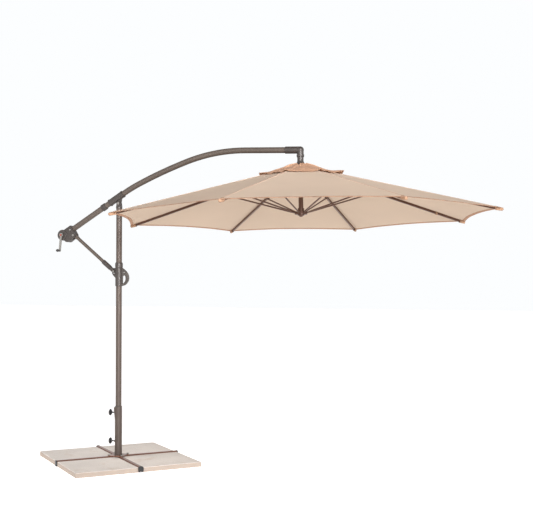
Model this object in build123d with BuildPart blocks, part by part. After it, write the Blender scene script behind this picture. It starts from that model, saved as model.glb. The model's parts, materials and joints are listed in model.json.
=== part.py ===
from build123d import *
from math import atan2, cos, degrees, hypot, radians, sin, tan
import os

# Cantilever parasol. Millimetres, +Z up, origin on the floor under the mast's axis.
# The arm lies in the XZ plane and reaches towards +X.

os.makedirs("parts", exist_ok=True)

# ---------------------------------------------------------------- driving dimensions
SLAB_SIDE = 500.0
SLAB_THICKNESS = 38.0
SLAB_GAP = 34.0
BASE_TURN = 46.5

BAR_WIDTH = 28.0
BAR_HEIGHT = 46.0
BAR_WALL = 2.5
BAR_CORNER_R = 5.0
CAP_THICKNESS = 8.0
CAP_WIDTH = 42.0
PLATE_SIDE = 130.0
PLATE_THICKNESS = 6.0
PLATE_BOLT_RADIUS = 82.0

LOWER_TUBE_R = 29.5
LOWER_TUBE_BORE = 27.0
LOWER_TUBE_TOP = 448.0
KNOB_HEIGHTS = {"upper": 399.0, "lower": 164.0}

MAST_R = 24.0
MAST_WALL = 2.0
MAST_FOOT = 62.0
MAST_TOP = 2078.0
RUNNING_GAP = 0.3
PIN_GAP = 0.05

ARM_PIVOT = (0.0, 2120.0)
ARM_FOOT = (-461.0, 1897.4)
ARM_RISE = 31.2
ARM_STRAIGHT_END_X = 45.0
ARM_BENDS = ((1300.0, 6.7), (4000.0, 6.5), (1400.0, 20.3))
ARM_LAST_RUN = 450.0
ARM_R = 23.0
ARM_WALL = 2.0

DRUM_CENTRE = (-515.0, 1867.0)
DRUM_R = 45.0
LOBE_CENTRE = (-470.0, 1836.0)
LOBE_R = 28.0
STRUT_TOP = (-413.0, 1865.0)
STRUT_FOOT = (-46.0, 1563.0)
CLAMP_BOLT = (-441.0, 1909.5)

SLEEVE_BOTTOM = 1441.0
SLEEVE_STEP = 1594.0
SLEEVE_TOP = 1635.0
SLEEVE_R = 30.0

ELBOW_TO_RIM = 519.0
CANOPY_LEAN = 1.0
RIB_COUNT = 8
FIRST_RIB = 221.0
RIM_R = 1495.0
HEM_R = 1500.0
RIB_PIVOT_R = 38.0
RIB_PIVOT_H = 378.0
RIB_SLOPE = 14.84
RIB_HEIGHT = 18.0
RIB_WIDTH = 12.0
RIB_WALL = 1.4
STRETCHER_JOINT_R = 630.0
STRETCHER_DROP = 14.5
STRETCHER_R = 6.0
TONGUE_HALF = 3.5
FABRIC_LIFT = 11.5
FABRIC_THICKNESS = 1.2
SWIVEL_SEAT = 44.0


# ---------------------------------------------------------------- helpers
def save(builder, name):
    builder.part.label = name
    export_step(builder.part, f"parts/{name}.step")


def side_point(point, y=0.0):
    return (point[0], y, point[1])


def along(point, angle, distance):
    """Point at a distance from another, at an angle above +X in the XZ plane."""
    return (point[0] + distance * cos(radians(angle)), point[1] + distance * sin(radians(angle)))


def square_to(point, angle):
    """Plane across a direction in the XZ plane, with its own X pointing along +Y."""
    return Plane(
        origin=side_point(point),
        x_dir=(0, 1, 0),
        z_dir=(cos(radians(angle)), 0, sin(radians(angle))),
    )


def bar_outline(start, end, half):
    """Corners of a straight band between two points of the XZ plane."""
    length = hypot(end[0] - start[0], end[1] - start[1])
    nx = -(end[1] - start[1]) / length * half
    ny = (end[0] - start[0]) / length * half
    return (
        (start[0] + nx, start[1] + ny),
        (end[0] + nx, end[1] + ny),
        (end[0] - nx, end[1] - ny),
        (start[0] - nx, start[1] - ny),
    )


def angle_of(start, end):
    return degrees(atan2(end[1] - start[1], end[0] - start[0]))


def ring(name, outer, inner, low, high):
    """Plain turned ring about the mast's axis."""
    with BuildPart() as part:
        with BuildSketch(Plane.XY.offset(low)):
            Circle(outer)
            Circle(inner, mode=Mode.SUBTRACT)
        extrude(amount=high - low)
    save(part, name)


# ---------------------------------------------------------------- base: slabs and cross
slab_centre = (SLAB_SIDE + SLAB_GAP) / 2
SLAB_NAMES = ("slab_back", "slab_left", "slab_front", "slab_right")
for quarter, slab_name in enumerate(SLAB_NAMES):
    with BuildPart() as slab:
        with BuildSketch(Plane.XY.rotated((0, 0, BASE_TURN + 90 * quarter))) as slab_outline:
            with Locations((slab_centre, slab_centre)):
                Rectangle(SLAB_SIDE, SLAB_SIDE)
            fillet(slab_outline.vertices(), 4)
        extrude(amount=SLAB_THICKNESS)
        chamfer(slab.edges().group_by(Axis.Z)[-1], 3)
    save(slab, slab_name)

base_half = SLAB_SIDE + SLAB_GAP / 2
bar_end = base_half + 0.5
LONG_BAR_ANGLE = BASE_TURN
SHORT_BAR_ANGLES = (BASE_TURN + 90, BASE_TURN + 270)
plate_bolt_angles = [BASE_TURN + 90 * k for k in range(4)]


def bar_section(angle, start):
    """Plane across a base bar, a given way out from the mast's axis, with +Y of the sketch up."""
    c = cos(radians(angle))
    s = sin(radians(angle))
    return Plane(origin=(start * c, start * s, 0), x_dir=(-s, c, 0), z_dir=(c, s, 0))


def base_bar(angle, start, end):
    """Folded channel, open underneath, with rounded upper corners."""
    with BuildPart() as bar:
        with BuildSketch(bar_section(angle, start)) as outline:
            Rectangle(BAR_WIDTH, BAR_HEIGHT, align=(Align.CENTER, Align.MIN))
            fillet(outline.vertices().group_by(Axis.Z)[-1], BAR_CORNER_R)
        extrude(amount=end - start)
        with BuildSketch(bar_section(angle, start)) as inside:
            Rectangle(BAR_WIDTH - 2 * BAR_WALL, BAR_HEIGHT - BAR_WALL, align=(Align.CENTER, Align.MIN))
            fillet(inside.vertices().group_by(Axis.Z)[-1], BAR_CORNER_R - BAR_WALL)
        extrude(amount=end - start, mode=Mode.SUBTRACT)
        with Locations(Plane.XY.rotated((0, 0, angle)).offset(BAR_HEIGHT)):
            with Locations((-PLATE_BOLT_RADIUS, 0), (PLATE_BOLT_RADIUS, 0)):
                Hole(5.5, depth=12)
    return bar


with BuildPart() as cross_bars:
    add(base_bar(LONG_BAR_ANGLE, -bar_end, bar_end).part)
    with BuildSketch(Plane.XY.rotated((0, 0, LONG_BAR_ANGLE))):
        Rectangle(120, BAR_WIDTH - 2 * BAR_WALL + 1)
    extrude(amount=3)
    for bar_angle in SHORT_BAR_ANGLES:
        add(base_bar(bar_angle, BAR_WIDTH / 2 + 0.5, bar_end).part)
save(cross_bars, "cross_bars")

with BuildPart() as bar_end_caps:
    for cap_angle in plate_bolt_angles:
        with BuildSketch(bar_section(cap_angle, bar_end)) as cap_face:
            Rectangle(CAP_WIDTH, BAR_HEIGHT + 2, align=(Align.CENTER, Align.MIN))
            fillet(cap_face.vertices().group_by(Axis.Z)[-1], 17)
            with BuildLine():
                Polyline((-9, 0), (0, 15), (9, 0), close=True)
            make_face(mode=Mode.SUBTRACT)
        extrude(amount=CAP_THICKNESS)
        with BuildSketch(bar_section(cap_angle, bar_end - 18)):
            with Locations((0, 17)):
                Rectangle(BAR_WIDTH - 2 * BAR_WALL - 0.2, 20, align=(Align.CENTER, Align.MIN))
        extrude(amount=18)
save(bar_end_caps, "bar_end_caps")

plate_top = BAR_HEIGHT + PLATE_THICKNESS
with BuildPart() as base_plate:
    with BuildSketch(Plane.XY.rotated((0, 0, BASE_TURN - 45)).offset(BAR_HEIGHT)) as plate_outline:
        Rectangle(PLATE_SIDE, PLATE_SIDE)
        fillet(plate_outline.vertices(), 8)
        with PolarLocations(PLATE_BOLT_RADIUS, 4, start_angle=45):
            Circle(5.5, mode=Mode.SUBTRACT)
    extrude(amount=PLATE_THICKNESS)
    chamfer(base_plate.faces().sort_by(Axis.Z)[-1].outer_wire().edges(), 1)
save(base_plate, "base_plate")

nut_top = BAR_HEIGHT - BAR_WALL
with BuildPart() as plate_bolts:
    for bolt_level, bolt_shape_r, bolt_length in (
        (plate_top, 10.0, 2.0),
        (nut_top - 10.0, 5.0, plate_top - nut_top + 10.0),
    ):
        with BuildSketch(Plane.XY.offset(bolt_level)):
            with PolarLocations(PLATE_BOLT_RADIUS, 4, start_angle=BASE_TURN):
                Circle(bolt_shape_r)
        extrude(amount=bolt_length)
    for hexagon_level, hexagon_height in ((plate_top + 2, 6.5), (nut_top - 8.2, 8.0)):
        with BuildSketch(Plane.XY.offset(hexagon_level)):
            with PolarLocations(PLATE_BOLT_RADIUS, 4, start_angle=BASE_TURN):
                RegularPolygon(9.4, 6)
        extrude(amount=hexagon_height)
save(plate_bolts, "plate_bolts")

# ---------------------------------------------------------------- lower tube, bushes and clamp knobs
with BuildPart() as lower_tube:
    with BuildSketch(Plane.XY.offset(plate_top)):
        Circle(LOWER_TUBE_R)
    extrude(amount=LOWER_TUBE_TOP - plate_top)
    with BuildSketch(Plane.XY.offset(plate_top)):
        Circle(LOWER_TUBE_R + 4)
    extrude(amount=5, taper=35)
    for knob_height in KNOB_HEIGHTS.values():
        with BuildSketch(Plane.YZ.offset(-LOWER_TUBE_R - 6)):
            with Locations((0, knob_height)):
                Circle(9)
        extrude(amount=12)
    with BuildSketch(Plane.XZ) as ferrule:
        with BuildLine():
            Polyline((-27, LOWER_TUBE_TOP), (-38.5, LOWER_TUBE_TOP - 8), (-38.5, 420), (-28, 330), close=True)
        make_face()
    extrude(amount=8, both=True)
    with BuildSketch(Plane.XY.offset(plate_top)):
        Circle(LOWER_TUBE_BORE)
    extrude(amount=LOWER_TUBE_TOP - plate_top, mode=Mode.SUBTRACT)
    for knob_height in KNOB_HEIGHTS.values():
        with BuildSketch(Plane.YZ.offset(-60)):
            with Locations((0, knob_height)):
                Circle(5.0 + PIN_GAP)
        extrude(amount=45, mode=Mode.SUBTRACT)
save(lower_tube, "lower_tube")

with BuildPart() as tube_bushes:
    with BuildSketch(Plane.XZ):
        with BuildLine():
            Polyline(
                (MAST_R + RUNNING_GAP, 412),
                (LOWER_TUBE_BORE - 0.1, 412),
                (LOWER_TUBE_BORE - 0.1, LOWER_TUBE_TOP + 0.1),
                (LOWER_TUBE_R + 1, LOWER_TUBE_TOP + 0.1),
                (LOWER_TUBE_R - 0.5, LOWER_TUBE_TOP + 4),
                (MAST_R + RUNNING_GAP, LOWER_TUBE_TOP + 5),
                close=True,
            )
        make_face()
        with BuildLine():
            Polyline(
                (0, plate_top + 0.1),
                (LOWER_TUBE_BORE - 0.1, plate_top + 0.1),
                (LOWER_TUBE_BORE - 0.1, 96),
                (MAST_R + RUNNING_GAP, 96),
                (MAST_R + RUNNING_GAP, MAST_FOOT - RUNNING_GAP),
                (0, MAST_FOOT - RUNNING_GAP),
                close=True,
            )
        make_face()
    revolve(axis=Axis.Z)
save(tube_bushes, "tube_bushes")

KNOB_SCREW_TIP = -MAST_R - 0.4
KNOB_FACE = -83.0
for knob_name, knob_height in KNOB_HEIGHTS.items():
    with BuildPart() as knob:
        with BuildSketch(Plane.XZ) as knob_profile:
            with BuildLine():
                Polyline((KNOB_SCREW_TIP, knob_height), (KNOB_SCREW_TIP, knob_height + 5.0), (-58, knob_height + 5.0))
                Polyline((-58, knob_height + 5.0), (-58, knob_height + 8.5), (-61, knob_height + 9.5))
                Spline(
                    (-61, knob_height + 9.5),
                    (-67, knob_height + 20),
                    (-73.5, knob_height + 26.5),
                    (KNOB_FACE + 3, knob_height + 21),
                    (KNOB_FACE, knob_height + 8),
                    (KNOB_FACE, knob_height),
                )
                Line((KNOB_FACE, knob_height), (KNOB_SCREW_TIP, knob_height))
            make_face()
        revolve(axis=Axis((0, 0, knob_height), (1, 0, 0)))
    save(knob, f"clamp_knob_{knob_name}")

# ---------------------------------------------------------------- mast
with BuildPart() as mast_tube:
    with BuildSketch(Plane.XY.offset(MAST_FOOT)):
        Circle(MAST_R)
        Circle(MAST_R - MAST_WALL, mode=Mode.SUBTRACT)
    extrude(amount=MAST_TOP - MAST_FOOT)
save(mast_tube, "mast_tube")

EAR_INNER = 9.5
EAR_OUTER = 17.0
EAR_R = 17.0
PIVOT_BOLT_R = 6.0
with BuildPart() as mast_clevis:
    with BuildSketch(Plane.XY.offset(MAST_TOP - 45)):
        Circle(MAST_R - MAST_WALL - 0.1)
    extrude(amount=45)
    with BuildSketch(Plane.XY.offset(MAST_TOP)):
        Circle(MAST_R + 1.5)
    extrude(amount=14)
    with BuildSketch(Plane.XZ):
        with Locations(ARM_PIVOT):
            Circle(EAR_R)
        with BuildLine():
            Polyline(
                (-EAR_R, ARM_PIVOT[1]), (EAR_R, ARM_PIVOT[1]), (EAR_R + 4, MAST_TOP + 8), (-EAR_R - 4, MAST_TOP + 8),
                close=True,
            )
        make_face()
    extrude(amount=EAR_OUTER, both=True)
    with BuildSketch(Plane.XZ):
        with Locations((0, ARM_PIVOT[1] + 11)):
            Rectangle(80, 62)
    extrude(amount=EAR_INNER, both=True, mode=Mode.SUBTRACT)
    with BuildSketch(Plane.XZ):
        with Locations(ARM_PIVOT):
            Circle(PIVOT_BOLT_R + PIN_GAP)
    extrude(amount=40, both=True, mode=Mode.SUBTRACT)
save(mast_clevis, "mast_clevis")


def cross_bolt(centre, shank_r, half_grip, head_r, head_height):
    """Bolt along Y with a domed head on the -Y side and a hexagon nut on the +Y side."""
    with BuildPart() as bolt:
        with BuildSketch(Plane.XZ.offset(-half_grip - 1)):
            with Locations(centre):
                Circle(shank_r)
        extrude(amount=2 * half_grip + 2)
        with BuildSketch(Plane.XZ.offset(half_grip)) as head:
            with Locations(centre):
                Circle(head_r)
        extrude(amount=head_height)
        fillet(bolt.faces().sort_by(Axis.Y)[0].edges(), head_height * 0.45)
        with BuildSketch(Plane.XZ.offset(-half_grip)):
            with Locations(centre):
                RegularPolygon(head_r, 6)
        extrude(amount=-head_height)
    return bolt


pivot_bolt = cross_bolt(ARM_PIVOT, PIVOT_BOLT_R, EAR_OUTER + 0.1, 10.5, 7.0)
save(pivot_bolt, "pivot_bolt")

# ---------------------------------------------------------------- sliding sleeve and its handle
LUG_HALF = 6.0
SLOT_HALF_WIDTH = 8.8
SLOT_HALF_HEIGHT = 19.5
with BuildPart() as sleeve_body:
    with BuildSketch(Plane.XZ):
        with BuildLine():
            Polyline(
                (0, SLEEVE_BOTTOM),
                (SLEEVE_R - 2, SLEEVE_BOTTOM),
                (SLEEVE_R, SLEEVE_BOTTOM + 3),
                (SLEEVE_R, SLEEVE_STEP - 2),
                (SLEEVE_R - 1.5, SLEEVE_STEP),
                (0, SLEEVE_STEP),
                close=True,
            )
        make_face()
        with BuildLine():
            Polyline(
                (0, SLEEVE_STEP + 0.1),
                (SLEEVE_R + 1, SLEEVE_STEP + 0.1),
                (SLEEVE_R + 1.5, SLEEVE_STEP + 4),
                (SLEEVE_R + 1.5, SLEEVE_TOP - 8),
                (SLEEVE_R - 2, SLEEVE_TOP),
                (0, SLEEVE_TOP),
                close=True,
            )
        make_face()
    revolve(axis=Axis.Z)
    with BuildSketch(Plane.XZ) as lug_profile:
        with BuildLine():
            Polyline(
                (-SLEEVE_R + 3, STRUT_FOOT[1] + 28),
                (STRUT_FOOT[0] - 8, STRUT_FOOT[1] + 27),
                (STRUT_FOOT[0] - 14, STRUT_FOOT[1] + 20),
                (STRUT_FOOT[0] - 14, STRUT_FOOT[1] - 20),
                (STRUT_FOOT[0] - 4, STRUT_FOOT[1] - 34),
                (-SLEEVE_R + 3, STRUT_FOOT[1] - 58),
                close=True,
            )
        make_face()
    extrude(amount=LUG_HALF, both=True)
    with BuildSketch(Plane.XZ):
        with Locations(STRUT_FOOT):
            SlotOverall(2 * SLOT_HALF_HEIGHT, 2 * SLOT_HALF_WIDTH, rotation=90)
    extrude(amount=LUG_HALF + 2, both=True, mode=Mode.SUBTRACT)
    with BuildSketch(Plane.XY.offset(SLEEVE_BOTTOM - 1)):
        Circle(MAST_R + RUNNING_GAP)
    extrude(amount=SLEEVE_TOP - SLEEVE_BOTTOM + 2, mode=Mode.SUBTRACT)
save(sleeve_body, "sleeve_body")

HANDLE_BOLT = (52.0, 1553.0)
HANDLE_HALF = 9.5
with BuildPart() as sleeve_handle:
    with BuildSketch(Plane.XZ) as grip_profile:
        with BuildLine():
            Line((SLEEVE_R - 6, 1592), (34, 1589))
            Spline((34, 1589), (62, 1568), (87, 1532), (91, 1503), (74, 1465), (34, 1443))
            Line((34, 1443), (SLEEVE_R - 6, 1442))
            Line((SLEEVE_R - 6, 1442), (SLEEVE_R - 6, 1592))
        make_face()
        with BuildLine():
            Line((33.5, 1522), (52, 1532))
            Spline((52, 1532), (63, 1509), (57, 1481), (33.5, 1458))
            Line((33.5, 1458), (33.5, 1522))
        make_face(mode=Mode.SUBTRACT)
    extrude(amount=HANDLE_HALF, both=True)
    fillet(sleeve_handle.edges().filter_by(GeomType.BSPLINE), 3)
    with BuildSketch(Plane.XY.offset(1400)):
        Circle(SLEEVE_R + 0.1)
    extrude(amount=250, mode=Mode.SUBTRACT)
    with BuildSketch(Plane.XZ):
        with Locations(HANDLE_BOLT):
            Circle(4.1)
    extrude(amount=20, both=True, mode=Mode.SUBTRACT)
save(sleeve_handle, "sleeve_handle")

handle_bolt = cross_bolt(HANDLE_BOLT, 4.0, HANDLE_HALF + 0.1, 7.0, 4.5)
save(handle_bolt, "handle_bolt")

# ---------------------------------------------------------------- strut between sleeve and arm
strut_angle = angle_of(STRUT_FOOT, STRUT_TOP)
strut_length = hypot(STRUT_TOP[0] - STRUT_FOOT[0], STRUT_TOP[1] - STRUT_FOOT[1])
CHEEK_INNER = LUG_HALF + 0.6
CHEEK_OUTER = CHEEK_INNER + 6.0
STRUT_R = 14.0
SOCKET_START = 44.0
SOCKET_END = 128.0
STRUT_EYE_HALF = 14.0
STRUT_EYE_R = 15.0
STRUT_PIN_R = 5.0

with BuildPart() as strut_fork:
    with BuildSketch(square_to(along(STRUT_FOOT, strut_angle, SOCKET_START), strut_angle)):
        Circle(STRUT_R + 5)
    extrude(amount=SOCKET_END - SOCKET_START)
    chamfer(strut_fork.edges().filter_by(GeomType.CIRCLE).sort_by(Axis.X)[0], 1.5)
    with BuildSketch(Plane.XZ):
        with Locations(STRUT_FOOT):
            Circle(13)
        with BuildLine():
            Polyline(*bar_outline(STRUT_FOOT, along(STRUT_FOOT, strut_angle, SOCKET_START + 8), 13), close=True)
        make_face()
    extrude(amount=CHEEK_OUTER, both=True)
    with BuildSketch(Plane.XZ):
        with BuildLine():
            Polyline(
                *bar_outline(
                    along(STRUT_FOOT, strut_angle, -20), along(STRUT_FOOT, strut_angle, SOCKET_START), 30
                ),
                close=True,
            )
        make_face()
    extrude(amount=CHEEK_INNER, both=True, mode=Mode.SUBTRACT)
    with BuildSketch(square_to(along(STRUT_FOOT, strut_angle, SOCKET_START + 12), strut_angle)):
        Circle(STRUT_R + 0.1)
    extrude(amount=SOCKET_END, mode=Mode.SUBTRACT)
    with BuildSketch(Plane.XZ):
        with Locations(STRUT_FOOT):
            Circle(STRUT_PIN_R + 0.05)
    extrude(amount=30, both=True, mode=Mode.SUBTRACT)
save(strut_fork, "strut_fork")

strut_pin = cross_bolt(STRUT_FOOT, STRUT_PIN_R, CHEEK_OUTER + 0.1, 8.0, 4.0)
save(strut_pin, "strut_pin")

with BuildPart() as strut_tube:
    with BuildSketch(square_to(along(STRUT_FOOT, strut_angle, SOCKET_START + 12.5), strut_angle)):
        Circle(STRUT_R)
    extrude(amount=strut_length - SOCKET_START - 12.5 - 24)
    with BuildSketch(square_to(along(STRUT_FOOT, strut_angle, SOCKET_START + 12.5), strut_angle)):
        Circle(STRUT_R - 2)
    extrude(amount=strut_length - SOCKET_START - 12.5 - 60, mode=Mode.SUBTRACT)
    with BuildSketch(Plane.XZ):
        with Locations(STRUT_TOP):
            Circle(STRUT_EYE_R)
        with BuildLine():
            Polyline(*bar_outline(along(STRUT_TOP, strut_angle, -40), STRUT_TOP, 13), close=True)
        make_face()
    extrude(amount=STRUT_EYE_HALF, both=True)
    with BuildSketch(Plane.XZ):
        with Locations(STRUT_TOP):
            Circle(STRUT_PIN_R + PIN_GAP)
    extrude(amount=30, both=True, mode=Mode.SUBTRACT)
save(strut_tube, "strut_tube")

# ---------------------------------------------------------------- arm
straight_length = (ARM_STRAIGHT_END_X - ARM_FOOT[0]) / cos(radians(ARM_RISE))
with BuildLine(Plane.XZ) as arm_path:
    run = Line(ARM_FOOT, along(ARM_FOOT, ARM_RISE, straight_length))
    arm_heading = ARM_RISE
    bend_start = along(ARM_FOOT, ARM_RISE, straight_length)
    for bend_r, bend_angle in ARM_BENDS:
        JernArc(
            start=bend_start,
            tangent=(cos(radians(arm_heading)), sin(radians(arm_heading))),
            radius=bend_r,
            arc_size=-bend_angle,
        )
        next_heading = arm_heading - bend_angle
        bend_start = (
            bend_start[0] + bend_r * (sin(radians(arm_heading)) - sin(radians(next_heading))),
            bend_start[1] + bend_r * (cos(radians(next_heading)) - cos(radians(arm_heading))),
        )
        arm_heading = next_heading
    elbow_centre = along(bend_start, arm_heading, ARM_LAST_RUN)
    Line(bend_start, along(bend_start, arm_heading, ARM_LAST_RUN - 24))

with BuildPart() as arm_tube:
    with BuildSketch(square_to(ARM_FOOT, ARM_RISE)):
        Circle(ARM_R)
        Circle(ARM_R - ARM_WALL, mode=Mode.SUBTRACT)
    sweep(path=arm_path.wire())
    with BuildSketch(Plane.XZ):
        with Locations(CLAMP_BOLT):
            Circle(4.1)
    extrude(amount=40, both=True, mode=Mode.SUBTRACT)
save(arm_tube, "arm_tube")


def arm_station(x):
    """Point on the straight part of the arm's axis at a given X."""
    return along(ARM_FOOT, ARM_RISE, (x - ARM_FOOT[0]) / cos(radians(ARM_RISE)))


BRACKET_CENTRE_X = -24.0
BRACKET_HALF = 71.0
bracket_foot = along(arm_station(BRACKET_CENTRE_X), ARM_RISE, -BRACKET_HALF)
with BuildPart() as arm_bracket:
    with BuildSketch(square_to(bracket_foot, ARM_RISE)):
        Circle(ARM_R + 5)
    extrude(amount=2 * BRACKET_HALF)
    for flange_start in (0, 2 * BRACKET_HALF - 9):
        with BuildSketch(square_to(along(bracket_foot, ARM_RISE, flange_start), ARM_RISE)):
            Circle(ARM_R + 7)
        extrude(amount=9)
    with BuildSketch(Plane.XZ):
        with BuildLine():
            Polyline(
                arm_station(-42),
                (-16.5, ARM_PIVOT[1]),
                (16.5, ARM_PIVOT[1]),
                arm_station(30),
                close=True,
            )
        make_face()
        with Locations(ARM_PIVOT):
            Circle(16.5)
    extrude(amount=EAR_INNER - 0.5, both=True)
    with BuildSketch(square_to(along(bracket_foot, ARM_RISE, -5), ARM_RISE)):
        Circle(ARM_R + 0.1)
    extrude(amount=2 * BRACKET_HALF + 10, mode=Mode.SUBTRACT)
    with BuildSketch(Plane.XZ):
        with Locations(ARM_PIVOT):
            Circle(PIVOT_BOLT_R + PIN_GAP)
    extrude(amount=30, both=True, mode=Mode.SUBTRACT)
save(arm_bracket, "arm_bracket")

with BuildPart() as arm_collar:
    with BuildSketch(square_to(along(arm_station(-137), ARM_RISE, -20), ARM_RISE)):
        Circle(ARM_R + 5.5)
        Circle(ARM_R + 0.1, mode=Mode.SUBTRACT)
    extrude(amount=40)
    chamfer(arm_collar.faces().filter_by(GeomType.CYLINDER).sort_by(SortBy.AREA)[-1].edges(), 2)
save(arm_collar, "arm_collar")

# ---------------------------------------------------------------- elbow at the arm's end
lean = radians(CANOPY_LEAN)
mast_up = (-sin(lean), 0, cos(lean))
elbow_point = Vector(elbow_centre[0], 0, elbow_centre[1])
rim_centre = elbow_point - Vector(*mast_up) * ELBOW_TO_RIM
CANOPY = Plane(origin=rim_centre, x_dir=(cos(lean), 0, sin(lean)), z_dir=mast_up)
seat_level = ELBOW_TO_RIM - SWIVEL_SEAT
SPIGOT_R = 12.0

with BuildPart() as arm_elbow:
    with BuildSketch(square_to(along(elbow_centre, arm_heading, -118), arm_heading)):
        Circle(ARM_R + 4.5)
    extrude(amount=118)
    with Locations(side_point(elbow_centre)):
        Sphere(ARM_R + 4.5)
    with BuildSketch(CANOPY.offset(seat_level)):
        Circle(ARM_R + 3)
    extrude(amount=SWIVEL_SEAT)
    with BuildSketch(CANOPY.offset(seat_level)):
        Circle(ARM_R + 6)
    extrude(amount=9)
    with BuildSketch(square_to(along(elbow_centre, arm_heading, -150), arm_heading)):
        Circle(ARM_R + 0.1)
    extrude(amount=150 - 23, mode=Mode.SUBTRACT)
    with BuildSketch(CANOPY.offset(seat_level - 1)):
        Circle(SPIGOT_R + PIN_GAP)
    extrude(amount=31, mode=Mode.SUBTRACT)
save(arm_elbow, "arm_elbow")

# ---------------------------------------------------------------- crank housing at the arm's foot
HOUSING_HALF = 31.0
COVER_INNER = 22.0
with BuildPart() as crank_housing:
    with BuildSketch(Plane.XZ.offset(-HOUSING_HALF)):
        with Locations(DRUM_CENTRE):
            Circle(DRUM_R)
    extrude(amount=HOUSING_HALF + COVER_INNER)
    with BuildSketch(Plane.XZ):
        with Locations(LOBE_CENTRE):
            Circle(LOBE_R)
        with Locations(STRUT_TOP):
            Circle(19)
        with BuildLine():
            Polyline(
                DRUM_CENTRE,
                along(arm_station(-482), ARM_RISE + 90, 31),
                along(arm_station(-424), ARM_RISE + 90, 31),
                along(arm_station(-424), ARM_RISE - 90, 31),
                (STRUT_TOP[0] + 18, STRUT_TOP[1] + 6),
                (STRUT_TOP[0] + 10, STRUT_TOP[1] - 16),
                (LOBE_CENTRE[0] + 18, LOBE_CENTRE[1] - 21),
                (LOBE_CENTRE[0] - 18, LOBE_CENTRE[1] - 21),
                close=True,
            )
        make_face()
    extrude(amount=HOUSING_HALF, both=True)
    with BuildSketch(Plane.XZ.offset(COVER_INNER)):
        with Locations(DRUM_CENTRE):
            Circle(DRUM_R + 1)
    extrude(amount=20, mode=Mode.SUBTRACT)
    with BuildSketch(Plane.XZ.offset(-20)):
        with Locations(DRUM_CENTRE):
            Circle(DRUM_R - 5)
    extrude(amount=45, mode=Mode.SUBTRACT)
    with BuildSketch(square_to(ARM_FOOT, ARM_RISE)):
        Circle(ARM_R + 0.1)
    extrude(amount=120, mode=Mode.SUBTRACT)
    with BuildSketch(Plane.XZ):
        with Locations(STRUT_TOP):
            Circle(STRUT_EYE_R + 4)
        for swing in (8, -15, -38, -60):
            swing_end = along(STRUT_TOP, strut_angle + swing, -70)
            with BuildLine():
                Polyline(*bar_outline(STRUT_TOP, swing_end, STRUT_R + 3), close=True)
            make_face()
    extrude(amount=STRUT_EYE_HALF + 0.6, both=True, mode=Mode.SUBTRACT)
    with BuildSketch(Plane.XZ):
        with Locations(STRUT_TOP):
            Circle(STRUT_PIN_R + PIN_GAP)
        with Locations(CLAMP_BOLT):
            Circle(4.1)
    extrude(amount=40, both=True, mode=Mode.SUBTRACT)
    with BuildSketch(Plane.XZ.offset(-HOUSING_HALF + 3)):
        with Locations(DRUM_CENTRE):
            Circle(6.0 + PIN_GAP)
    extrude(amount=20, mode=Mode.SUBTRACT)
save(crank_housing, "crank_housing")

with BuildPart() as crank_cover:
    with BuildSketch(Plane.XZ.offset(COVER_INNER + 0.1)):
        with Locations(DRUM_CENTRE):
            Circle(DRUM_R)
    extrude(amount=HOUSING_HALF - COVER_INNER + 3)
    fillet(crank_cover.faces().sort_by(Axis.Y)[0].edges(), 6)
    with BuildSketch(Plane.XZ.offset(COVER_INNER)):
        with Locations(DRUM_CENTRE):
            Circle(6.0 + PIN_GAP)
    extrude(amount=20, mode=Mode.SUBTRACT)
save(crank_cover, "crank_cover")

with BuildPart() as housing_bolts:
    add(cross_bolt(STRUT_TOP, STRUT_PIN_R, HOUSING_HALF + 0.1, 8.5, 5.0).part)
    add(cross_bolt(CLAMP_BOLT, 4.0, HOUSING_HALF + 0.1, 8.0, 5.0).part)
save(housing_bolts, "housing_bolts")

# ---------------------------------------------------------------- crank, spool and grip
CRANK_PLANE = 52.0
LEVER_FOOT = (-528.0, 1736.0)
with BuildPart() as cord_spool:
    for disc_start, disc_length, disc_r in ((-17.0, 3.0, 36.0), (-14.0, 28.0, 13.0), (14.0, 3.0, 36.0)):
        with BuildSketch(Plane.XZ.offset(disc_start)):
            with Locations(DRUM_CENTRE):
                Circle(disc_r)
        extrude(amount=disc_length)
    with BuildSketch(Plane.XZ.offset(-HOUSING_HALF + 4)):
        with Locations(DRUM_CENTRE):
            Circle(6.0)
    extrude(amount=HOUSING_HALF - 4 + CRANK_PLANE + 4)
save(cord_spool, "cord_spool")

lever_angle = angle_of(DRUM_CENTRE, LEVER_FOOT)
with BuildPart() as crank_lever:
    with BuildSketch(Plane.XZ.offset(CRANK_PLANE - 12)):
        with Locations(DRUM_CENTRE):
            Circle(17)
    extrude(amount=12)
    with BuildSketch(Plane.XZ.offset(CRANK_PLANE - 9)):
        with Locations(DRUM_CENTRE):
            Circle(12)
        with Locations(LEVER_FOOT):
            Circle(9)
        with BuildLine():
            Polyline(*bar_outline(DRUM_CENTRE, LEVER_FOOT, 9), close=True)
        make_face()
    extrude(amount=9)
    with BuildSketch(Plane.XZ.offset(CRANK_PLANE - 9)):
        with Locations(LEVER_FOOT):
            Circle(4)
    extrude(amount=44)
    with BuildSketch(Plane.XZ.offset(CRANK_PLANE - 20)):
        with Locations(DRUM_CENTRE):
            Circle(6.1)
    extrude(amount=30, mode=Mode.SUBTRACT)
save(crank_lever, "crank_lever")

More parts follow.
